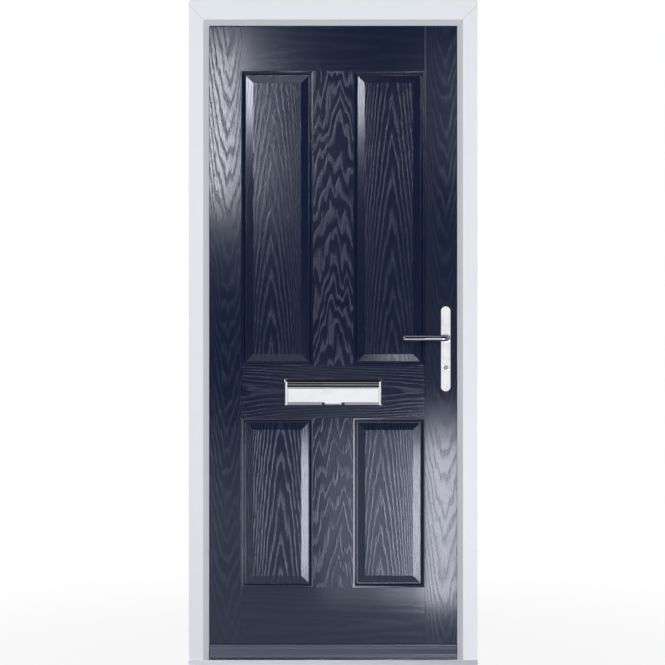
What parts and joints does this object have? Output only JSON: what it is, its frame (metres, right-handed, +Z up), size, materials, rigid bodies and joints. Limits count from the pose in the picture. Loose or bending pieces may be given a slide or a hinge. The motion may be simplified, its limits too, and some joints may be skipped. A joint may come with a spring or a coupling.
{
  "type": "panelled front door with frame",
  "caption": "Composite front door leaf with raised panels in a hollow-profile frame with threshold, hinges, multipoint lock, lever handles and a sprung letter plate.",
  "frame": {"origin": "on the threshold's underside, at the middle of the frame's width and depth", "axes": "+Z up, +Y into the house, +X to the right seen from outside"},
  "size_m": [0.9, 0.1634, 2.1],
  "materials": {
    "frame_white": "white extruded plastic, satin",
    "threshold_aluminium": "mill-finish ribbed extrusion",
    "seal_rubber": "black gasket",
    "leaf_navy": "navy woodgrain moulded skin, semi-gloss",
    "foam": "rigid foam",
    "timber": "laminated timber, planed",
    "bright_chrome": "polished plate",
    "bright_steel": "zinc plated",
    "sleeve_plastic": "black moulded plastic"
  },
  "bodies": {
    "frame": {"frame_head": "frame_white", "head_extension": "frame_white", "frame_jamb_hinge": "frame_white", "frame_jamb_lock": "frame_white", "head_steel": "bright_steel", "hinge_jamb_steel": "bright_steel", "lock_jamb_steel": "bright_steel", "threshold": "threshold_aluminium", "frame_seal": "seal_rubber", "latch_keep": "bright_steel", "upper_hook_keep": "bright_steel", "lower_hook_keep": "bright_steel", "frame_screws": "bright_steel", "bottom_hinge_frame_flag": "frame_white", "middle_hinge_frame_flag": "frame_white", "top_hinge_frame_flag": "frame_white", "hinge_pins": "bright_steel"},
    "leaf": {"outer_skin": "leaf_navy", "inner_skin": "leaf_navy", "foam_core": "foam", "hinge_stile": "timber", "lock_stile": "timber", "top_rail": "timber", "bottom_rail": "timber", "weather_bar": "leaf_navy", "bottom_seal": "seal_rubber", "bottom_hinge_leaf_flag": "frame_white", "middle_hinge_leaf_flag": "frame_white", "top_hinge_leaf_flag": "frame_white", "leaf_screws": "bright_steel", "lock_faceplate": "bright_steel", "lock_case": "bright_steel", "upper_hook_case": "bright_steel", "lower_hook_case": "bright_steel", "outer_backplate": "bright_chrome", "inner_backplate": "bright_chrome", "backplate_bolts": "bright_steel", "cylinder_body": "bright_chrome", "cylinder_screw": "bright_steel", "letter_outer_frame": "bright_chrome", "letter_inner_frame": "bright_chrome", "letter_sleeve": "sleeve_plastic", "letter_bolts": "bright_steel", "letter_pins": "bright_steel"},
    "lever": {"outer_lever": "bright_chrome", "inner_lever": "bright_chrome", "spindle": "bright_steel", "follower": "bright_steel", "grub_screws": "bright_steel"},
    "latch": {"latch": "bright_steel"},
    "cylinder": {"cylinder_plug": "bright_chrome", "cylinder_cam": "bright_steel", "thumbturn": "bright_chrome"},
    "deadbolt": {"deadbolt": "bright_steel"},
    "drive_rail": {"drive_rail": "bright_steel"},
    "upper_hook": {"upper_hook": "bright_steel"},
    "lower_hook": {"lower_hook": "bright_steel"},
    "outer_flap": {"outer_flap": "bright_chrome"},
    "inner_flap": {"inner_flap": "bright_chrome"}
  },
  "joints": [
    {"name": "leaf_swing", "type": "hinge", "parent": "frame", "child": "leaf", "pos_m": [-0.399, 0.044, 1], "axis": [0, 0, 1], "range_deg": [0, 100]},
    {"name": "lever_turn", "type": "hinge", "parent": "leaf", "child": "lever", "pos_m": [0.352, 0.0105, 1.033], "axis": [0, -1, 0], "range_deg": [0, 40], "stiffness_Nm_per_rad": 3, "springref_deg": -22.92},
    {"name": "latch_slide", "type": "slide", "parent": "leaf", "child": "latch", "axis": [-1, 0, 0], "range_m": [0, 0.0115]},
    {"name": "cylinder_turn", "type": "hinge", "parent": "leaf", "child": "cylinder", "pos_m": [0.352, 0.0105, 0.941], "axis": [0, 1, 0], "range_deg": [0, 360]},
    {"name": "deadbolt_slide", "type": "slide", "parent": "leaf", "child": "deadbolt", "axis": [1, 0, 0], "range_m": [0, 0.02]},
    {"name": "rail_slide", "type": "slide", "parent": "leaf", "child": "drive_rail", "axis": [0, 0, 1], "range_m": [0, 0.02]},
    {"name": "upper_hook_swing", "type": "hinge", "parent": "leaf", "child": "upper_hook", "pos_m": [0.375, 0.0105, 1.653], "axis": [0, 1, 0], "range_deg": [0, 90]},
    {"name": "lower_hook_swing", "type": "hinge", "parent": "leaf", "child": "lower_hook", "pos_m": [0.375, 0.0105, 0.413], "axis": [0, 1, 0], "range_deg": [0, 90]},
    {"name": "outer_flap_lift", "type": "hinge", "parent": "leaf", "child": "outer_flap", "pos_m": [0, -0.0196, 0.8759], "axis": [-1, 0, 0], "range_deg": [0, 85], "stiffness_Nm_per_rad": 0.15, "springref_deg": -34.38},
    {"name": "inner_flap_lift", "type": "hinge", "parent": "leaf", "child": "inner_flap", "pos_m": [0, 0.0406, 0.8759], "axis": [1, 0, 0], "range_deg": [0, 85], "stiffness_Nm_per_rad": 0.15, "springref_deg": -34.38}
  ],
  "couplings": [
    {"joint": "latch_slide", "follows": "lever_turn", "m_per_rad": 0.01647},
    {"joint": "cylinder_turn", "follows": "rail_slide", "rad_per_m": 314.15},
    {"joint": "deadbolt_slide", "follows": "rail_slide", "ratio": 1},
    {"joint": "upper_hook_swing", "follows": "rail_slide", "rad_per_m": 78.53},
    {"joint": "lower_hook_swing", "follows": "rail_slide", "rad_per_m": 78.53}
  ]
}
